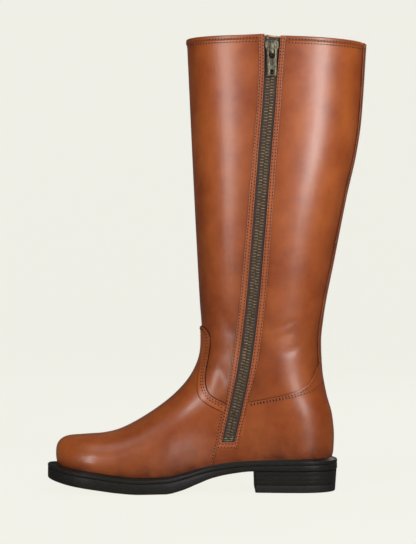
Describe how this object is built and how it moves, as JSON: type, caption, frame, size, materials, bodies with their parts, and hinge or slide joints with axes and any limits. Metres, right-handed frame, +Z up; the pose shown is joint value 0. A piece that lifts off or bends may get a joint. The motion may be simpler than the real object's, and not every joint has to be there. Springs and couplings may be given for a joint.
{
  "type": "knee-high boot",
  "caption": "Right knee-high riding boot with a full-length inner zip, a welted sole and a low stacked heel.",
  "frame": {"origin": "on the floor at the middle of the boot's bounding box seen from above", "axes": "+Z up, -Y towards the toe, +X towards the inner (medial) side that carries the zip"},
  "size_m": [0.099, 0.302, 0.4277],
  "materials": {
    "leather": "burnished tan, semi-gloss",
    "insole": "plain lining leather",
    "sole_leather": "black stained edge",
    "top_lift": "matt black",
    "zip_tape": "dark woven tape",
    "zip_teeth": "antique brass",
    "zip_metal": "aged metal"
  },
  "bodies": {
    "boot": {"upper": "leather", "vamp": "leather", "heel_counter": "leather", "back_strip": "leather", "insole": "insole", "welt": "sole_leather", "outsole": "sole_leather", "heel_block": "sole_leather", "top_lift": "top_lift", "zip_tape": "zip_tape", "zip_chain": "zip_teeth", "zip_bottom_stop": "zip_metal", "zip_top_stop_front": "zip_metal", "zip_top_stop_back": "zip_metal", "zip_slider": "zip_metal"},
    "pull_tab": {"zip_pull": "zip_metal"}
  },
  "joints": [
    {"name": "pull_hinge", "type": "hinge", "parent": "boot", "child": "pull_tab", "pos_m": [0.045, 0.0598, 0.4134], "axis": [0, -1, 0], "range_deg": [0, 165]}
  ]
}
